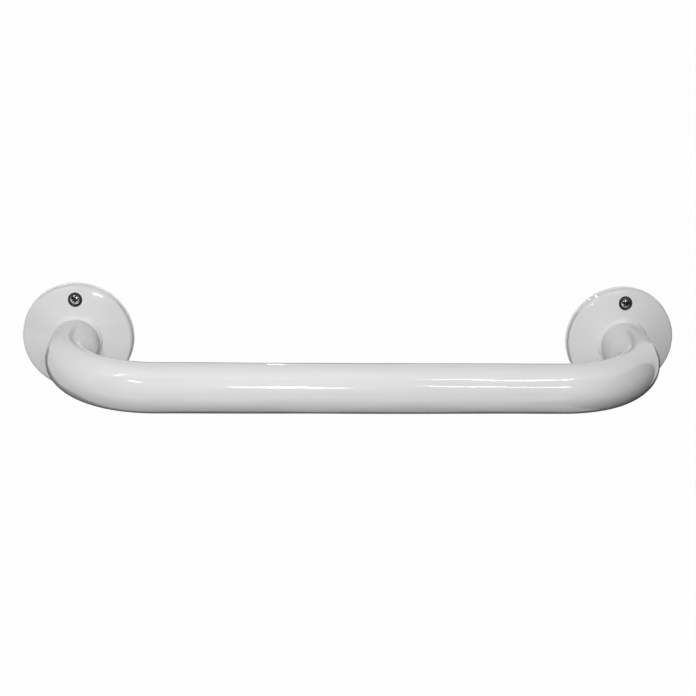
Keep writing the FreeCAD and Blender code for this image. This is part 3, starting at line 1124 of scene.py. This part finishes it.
@dataclass(kw_only=True)
class WallScrew(EndPiece):
    """A domed cross-recess wood screw, standing in its seat."""

    slot: str = "bright_screw"
    level: Level
    turn: float
    head_radius: float = 4.3
    head_height: float = 2.7
    head_edge: float = 0.7
    edge_rounding: float = 0.28
    under_rounding: float = 0.18
    bearing_radius: float = 3.4
    neck_radius: float = 2.5
    neck_flare: float = 0.15
    neck_length: float = 2.4
    neck_share: float = 0.4
    shank_radius: float = 2.1
    shank_start: float = 3.2
    core_radius: float = 1.5
    core_fade: float = 2.0
    smooth_length: float = 12.0
    length: float = 31.75
    point_length: float = 4.5
    point_curve: float = 0.8
    tip_share: float = 0.06
    pitch: float = 1.8
    crest: float = 0.2
    root: float = 1.1
    thread_fade: float = 1.5
    point_thread_shares: Pair = (0.25, 2.5)
    recess_arm: float = 2.3
    recess_half: float = 0.575
    recess_depth: float = 1.9
    recess_corner: float = 0.14
    recess_lip: float = 0.09
    wing_end_share: float = 0.9
    # How far out and down the recess's lip is at each ring, and how deep the rings of its wall are
    lip_shares: tuple[Pair, ...] = ((1.0, 0.0), (0.35, 0.25), (0.0, 1.0))
    wall_shares: tuple[float, ...] = (0.35, 0.7, 1.0)
    # How fast the painted shade deepens down the recess, and its faint level on the head's rim and the shank
    recess_wear: float = 1.3
    shank_wear: float = 0.05
    wing_slope: float = 26.5
    wall_slope: float = 4.0
    around: int = 64
    step: float = 0.15
    dome_rings: int = 12
    dome_inner: float = 0.6
    merge: float = 1e-7

    @property
    def sphere(self) -> float:
        """Radius of the dome's sphere."""
        rise = self.head_height - self.head_edge
        return (self.head_radius**2 + rise**2) / (2 * rise)

    @property
    def brim(self) -> tuple[Pair, float, float]:
        """The rounding round the dome, as corner gives it."""
        return corner(self.sphere, self.head_height - self.sphere, self.head_radius, self.edge_rounding)

    def dome_height(self, flat: np.ndarray) -> np.ndarray:
        """Height of the head's dome over points of the seat."""
        squared = np.maximum(self.sphere**2 - np.square(off_axis(flat)), 0.0)
        return self.head_height - self.sphere + np.sqrt(squared)

    def cross(self, arm: float, half: float) -> np.ndarray:
        """The outline of the cross recess.

        Args:
            arm: from the middle to a wing's tip.
            half: half of a wing's width.

        Returns:
            The outline's points, in order.
        """
        inner = self.recess_corner
        soft = min(inner, half * self.wing_end_share)
        quarter = [
            *arc((arm - soft, soft - half), soft, -90.0, 0.0, 3),
            *arc((arm - soft, half - soft), soft, 0.0, 90.0, 3),
            *arc((half + inner, half + inner), inner, -90.0, -180.0, 3),
        ]
        points = []
        for quarters in range(4):
            turn = Matrix.Rotation(quarters * math.pi / 2, 2)
            points += [tuple(turn @ Vector(point)) for point in quarter]
        return np.array(points)

    def lay_recess(self, shell: Shell) -> None:
        """Lay the dome round the recess, the recess's walls and its floor, with painted shade that deepens
        down the recess.
        """
        soft = self.recess_lip
        outlines = []
        for grow, drop in self.lip_shares:
            wider = soft * grow
            outlines.append((self.cross(self.recess_arm + wider, self.recess_half + wider), soft * drop))
        for share in self.wall_shares:
            drop = soft + (self.recess_depth - soft) * share
            arm = self.recess_arm - drop * math.tan(math.radians(self.wing_slope))
            half = self.recess_half - drop * math.tan(math.radians(self.wall_slope))
            outlines.append((self.cross(arm, half), drop))
        rows, worn = [], []
        for outline, drop in outlines:
            flat = np.full(len(outline), self.head_height - drop)
            height = self.dome_height(outline) - drop if drop <= soft else flat
            rows.append(np.column_stack([outline, height]))
            # Painted shade that deepens down the recess
            worn.append(min(1.0, drop / self.recess_depth * self.recess_wear))
        shell.add_rows(np.stack(rows), np.array(worn))
        bottom = self.head_height - self.recess_depth
        # The recess's floor takes the full painted shade
        self.lay_flat(shell, [outlines[-1][0]], lambda flat: np.full(len(flat), bottom), 1.0)
        edge = self.brim[1]
        radii = np.linspace(self.dome_inner, edge, self.dome_rings)[:-1]
        rings = [circle(self.around) * radius for radius in radii]
        self.lay_flat(shell, [circle(self.around) * edge, outlines[0][0]], self.dome_height, 0.0, rings)

    def lay_flat(
        self,
        shell: Shell,
        loops: Sequence[np.ndarray],
        height: Callable[[np.ndarray], np.ndarray],
        wear: float,
        extra: Sequence[np.ndarray] = (),
    ) -> None:
        """Lay triangles inside a border.

        Args:
            shell: what they are added to.
            loops: the border, and the outlines in it that stay open.
            height: the height over each point.
            wear: how deep the painted shade is on the surface.
            extra: further points inside.
        """
        points, faces = triangles(loops, extra, self.merge)
        middle = points[faces].mean(axis=1)
        keep = within(middle, loops[0])
        for hole in loops[1:]:
            keep &= ~within(middle, hole)
        used, order = np.unique(faces[keep], return_inverse=True)
        raised = np.column_stack([points, height(points)])[used]
        shell.add(raised, order.reshape(-1, 3).tolist(), wear)

    def shank(self) -> np.ndarray:
        """Rings of the neck, the shank, the thread and the point, below the seat."""
        neck = np.linspace(0.0, self.neck_length, 5)
        rest = np.arange(self.shank_start, self.length, self.step)
        fade_end = self.smooth_length + self.core_fade
        depths = [0.0, self.neck_length * self.neck_share, self.neck_length, self.smooth_length, fade_end]
        radii = [self.neck_radius, self.neck_radius, self.shank_radius, self.shank_radius, self.core_radius]
        least, steep = self.point_thread_shares
        ridge_slope = self.root / 2 - self.crest / 2
        rows = []
        for deep in (*neck, *rest, self.length):
            point = np.clip((self.length - deep) / self.point_length, 0.0, 1.0)
            taper = self.tip_share + (1 - self.tip_share) * point**self.point_curve
            core = np.interp(deep, depths, radii) * taper
            phase = (deep - self.smooth_length) / self.pitch - turns(self.around) / (2 * math.pi)
            gap = np.abs((phase + 0.5) % 1.0 - 0.5) * self.pitch
            ridge = np.clip((self.root / 2 - gap) / ridge_slope, 0.0, 1.0)
            start = np.clip((deep - self.smooth_length) / self.thread_fade, 0.0, 1.0)
            reach = (self.shank_radius - self.core_radius) * start * min(1.0, least + point)
            reach *= min(1.0, point * steep)
            rows.append(ring(core + ridge * reach, -deep, self.around))
        return np.stack(rows)

    def build(self) -> None:
        """Build the screw."""
        shell = Shell()
        self.lay_recess(shell)
        centre, _, angle = self.brim
        under = self.under_rounding
        profile = arc(centre, self.edge_rounding, angle, 0.0, 5)
        profile += arc((self.head_radius - under, under), under, 0.0, -90.0, 3)
        profile += [(self.bearing_radius, 0.0), (self.neck_radius + self.neck_flare, 0.0)]
        head = [ring(radius, height, self.around) for radius, height in profile]
        shank = self.shank()
        shell.add_rows(np.concatenate([head, shank]), self.shank_wear)
        shell.add(shank[-1], [tuple(range(self.around))])
        across = self.level.value * self.form.screw_reach
        place = wall_place(self.axis, across, self.form.seat_height, self.turn)
        name = f"{self.end}_{self.level.name.lower()}"
        self.dress(shell.build(f"wall_screw_{name}", place, turned=True), f"screw_{name}")


# Studio


@dataclass
class Lamp:
    """One soft rectangular lamp."""

    name: str
    size: Pair
    at: Place
    radiance: float
    aim: Place = (0.0, -0.05, 0.0)
    seen: Seen = Seen.LIGHT

    def hang(self) -> None:
        """Put the lamp in the scene, turned towards its aim."""
        data = bpy.data.lights.new(self.name, "AREA")
        data.shape = "RECTANGLE"
        data.size, data.size_y = self.size
        data.energy = self.radiance * math.pi * self.size[0] * self.size[1]
        lamp = put(self.name, data, facing(self.at, self.aim, "-Z"))
        lamp.visible_camera = False
        lamp.visible_glossy = self.seen is not Seen.LIGHT
        lamp.visible_diffuse = self.seen is not Seen.GLOSS


@dataclass
class Card:
    """A flat dark studio card that shows in gloss and may hold off the sky's light."""

    name: str
    size: Pair
    at: Place
    aim: Place = (0.0, -0.05, 0.0)
    shades: bool = False

    def hang(self, cloth: bpy.types.Material) -> None:
        """Put the card in the scene, turned towards its aim."""
        card = put(self.name, level_sheet(self.name, self.size, 0.0, cloth), facing(self.at, self.aim, "Z"))
        card.visible_camera = False
        card.visible_shadow = False
        card.visible_diffuse = self.shades


def facing(at: Sequence[float], aim: Sequence[float], axis: str) -> Matrix:
    """The matrix of something at a point with one axis towards another point."""
    way = Vector(aim) - Vector(at)
    return Matrix.Translation(Vector(at)) @ way.to_track_quat(axis, "Y").to_matrix().to_4x4()


def level_sheet(name: str, size: Pair, height: float, cloth: bpy.types.Material) -> bpy.types.Mesh:
    """A level rectangle about the Z axis.

    Args:
        name: the mesh's name.
        size: its sides, in metres.
        height: its height, in metres.
        cloth: its material.

    Returns:
        The mesh.
    """
    x, y = (length / 2 for length in size)
    mesh = bpy.data.meshes.new(name)
    mesh.from_pydata([(-x, -y, height), (x, -y, height), (x, y, height), (-x, y, height)], [], [(0, 1, 2, 3)])
    mesh.materials.append(cloth)
    return mesh


@dataclass
class Studio:
    """The floor, the lamps, the cards, the sky and the camera, in metres but for the camera's place."""

    floor_height: float = -1.0
    floor_size: float = 60.0
    sky: float = 0.23
    sky_below: float = 0.15
    sky_rise: Pair = (-0.7, 0.6)
    shade: float = 0.35
    shade_rise: Pair = (0.1, 0.7)
    camera_at: Place = (-53.358, -801.971, 271.702)
    camera_turn: Place = (-0.063, -0.336, -0.025)
    focal_pixels: float = 1200.598
    image_pixels: int = 696
    film_width: float = 36.0
    nearest: float = 0.01
    lamps: tuple[Lamp, ...] = (
        Lamp("front_softbox", (0.40, 0.30), (-0.20, -1.10, 0.78), 28.0),
        Lamp("rear_left_softbox", (0.8, 0.8), (-1.1, 1.1, 0.2), 2.0),
        Lamp("rear_right_softbox", (0.8, 0.8), (1.1, 1.1, 0.2), 5.0),
        Lamp("small_front_lamp", (0.05, 0.04), (-0.050, -0.80, 0.305), 110.0, seen=Seen.SHINE),
        Lamp("front_strip_lamp", (0.16, 0.09), (-0.036, -0.82, 0.315), 8.0, seen=Seen.SHINE),
        Lamp("small_rear_lamp", (0.03, 0.05), (-0.05, 1.35, 0.58), 60.0, seen=Seen.GLOSS),
        Lamp("left_high_lamp", (0.05, 0.30), (-0.743, -0.425, 1.006), 14.0, seen=Seen.GLOSS),
        Lamp("left_low_lamp", (0.22, 0.05), (-0.592, -0.866, 0.827), 18.0, seen=Seen.GLOSS),
        Lamp("low_strip_lamp", (0.30, 0.06), (0.31, -0.97, 0.50), 12.0, seen=Seen.GLOSS),
        Lamp("high_strip_lamp", (0.32, 0.06), (0.31, -0.57, 0.88), 14.0, seen=Seen.GLOSS),
    )
    cards: tuple[Card, ...] = (
        Card("front_card", (15.0, 10.0), (0.0, -3.4, 0.3)),
        Card("low_card", (2.6, 6.4), (0.0, 0.4, -0.95)),
        Card("right_card", (2.4, 1.1), (1.364, -0.34, -0.4), aim=(0.19, -0.09, -0.4)),
        Card("rear_card", (4.0, 2.4), (0.0, 2.2, -1.3), aim=(0.0, 0.0, -1.3)),
        Card("right_flag", (0.8, 0.8), (0.44, -0.20, -0.08), aim=(0.19, -0.12, 0.0), shades=True),
    )

    def lay_floor(self) -> None:
        """Lay the floor."""
        size = self.floor_size, self.floor_size
        floor = put("floor", level_sheet("floor", size, self.floor_height, PaleFloor().material()))
        floor.visible_diffuse = False

    def light_sky(self) -> None:
        """Make the world: white where the backdrop shows, and a soft light from above elsewhere."""
        world = bpy.data.worlds.new("studio")
        world.use_nodes = True
        board = Board(world.node_tree)
        way = board.node("ShaderNodeTexCoord").outputs["Generated"]
        parts = board.node("ShaderNodeSeparateXYZ", {}, {"Vector": way}).outputs
        height = Value(board, parts["Z"]).rise(*self.sky_rise)
        shade = Value(board, parts["X"]).rise(*self.shade_rise) * self.shade
        soft = (self.sky_below + height * (self.sky - self.sky_below)) * (1 - shade)
        colour = {"Color": (1.0, 1.0, 1.0, 1.0)}
        light = board.node("ShaderNodeBackground", {}, {**colour, "Strength": soft}).outputs["Background"]
        white = board.node("ShaderNodeBackground", {}, {**colour, "Strength": 1.0}).outputs["Background"]
        board.whiten("ShaderNodeOutputWorld", light, white, board.backdrop_rays())
        bpy.context.scene.world = world

    def set_camera(self) -> None:
        """Put the camera where the photograph was taken from."""
        yaw, pitch, roll = self.camera_turn
        turn = Matrix.Rotation(yaw, 3, "Z") @ Matrix.Rotation(pitch, 3, "X") @ Matrix.Rotation(roll, 3, "Y")
        right, forward, up = (turn.col[index] for index in range(3))
        axes = Matrix((right, up, -forward)).transposed().to_4x4()
        data = bpy.data.cameras.new("camera")
        data.lens = self.film_width * self.focal_pixels / self.image_pixels
        data.sensor_width = self.film_width
        data.clip_start = self.nearest
        place = Matrix.Translation(Vector(self.camera_at) * MILLIMETRE) @ axes
        bpy.context.scene.camera = put("camera", data, place)

    def build(self) -> None:
        """Build everything that isn't part of the rail."""
        bpy.context.scene.view_settings.view_transform = "Standard"
        self.lay_floor()
        self.light_sky()
        cloth = CardCloth().material()
        for card in self.cards:
            card.hang(cloth)
        for lamp in self.lamps:
            lamp.hang()
        self.set_camera()
        LOG.info("studio: floor, sky, %d lamps, %d cards, camera", len(self.lamps), len(self.cards))


# How far each screw is turned about its axis, in degrees
SCREW_TURNS = {
    (Side.LEFT, Level.TOP): 12.0,
    (Side.LEFT, Level.BOTTOM): 58.0,
    (Side.RIGHT, Level.TOP): 62.0,
    (Side.RIGHT, Level.BOTTOM): 71.0,
}


def main() -> None:
    """Build the rail and its studio."""
    logging.basicConfig(level=logging.INFO, format="%(name)s: %(message)s")
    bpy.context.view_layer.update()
    fixings = next(mount["dims"] for mount in frame["record"]["mounts"] if mount["name"] == "wall_fixings")
    enamel = Enamel().material()
    shaded_bare_steel = PlatedSteel().material()
    form = FlangeForm(half_span=fixings["spacing_x_mm"] / 2, screw_reach=fixings["spacing_y_mm"] / 2)
    GripTube(finish=enamel, form=form).build()
    for side in Side:
        Flange(finish=enamel, form=form, side=side).build()
        for face in Face:
            WeldRing(finish=enamel, form=form, side=side, face=face).build()
        for level in Level:
            turn = SCREW_TURNS[side, level]
            WallScrew(finish=shaded_bare_steel, form=form, side=side, level=level, turn=turn).build()
    Studio().build()


if __name__ == "__main__":
    main()
